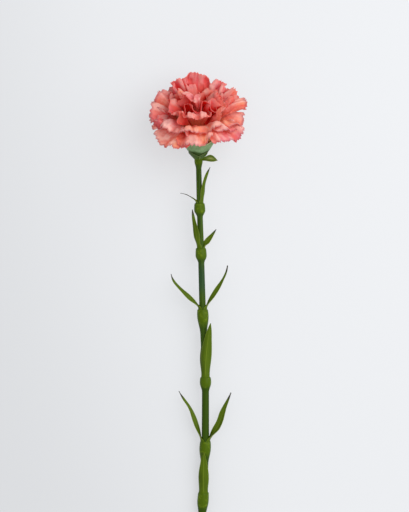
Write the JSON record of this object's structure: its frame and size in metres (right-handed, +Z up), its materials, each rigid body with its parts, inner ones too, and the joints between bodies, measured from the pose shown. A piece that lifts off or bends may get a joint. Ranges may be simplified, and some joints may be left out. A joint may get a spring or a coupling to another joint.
{
  "type": "cut flower",
  "caption": "Cut carnation lying on a surface: a double, frilled bloom in a bell-shaped calyx on a slender jointed stem with paired narrow leaves.",
  "frame": {"origin": "on the table, at the middle of the part's footprint in X and Y", "axes": "+Y up the stem towards the bloom, +Z up from the table, +X to the right seen from above"},
  "size_m": [0.0767, 0.3995, 0.0623],
  "materials": {
    "petal": "soft satin salmon petals, paler folds and red depths",
    "calyx": "waxy pale blue-green",
    "scale": "waxy dark green",
    "stem": "smooth waxy green, yellower at the joints",
    "leaf": "waxy green with grey dried tips"
  },
  "bodies": {
    "root": {"bloom": "petal", "calyx": "calyx", "stem": "stem", "bract": "leaf", "leaf_1_right": "leaf", "leaf_1_left": "leaf", "leaf_2_left": "leaf", "leaf_2_right": "leaf", "leaf_3_left": "leaf", "leaf_3_right": "leaf", "leaf_4_front": "leaf", "leaf_4_back": "leaf", "leaf_5_left": "leaf", "leaf_5_right": "leaf", "leaf_6_front": "leaf", "leaf_6_back": "leaf", "scale_front_right": "scale", "scale_front_left": "scale", "scale_back_left": "scale", "scale_back_right": "scale"}
  },
  "joints": []
}
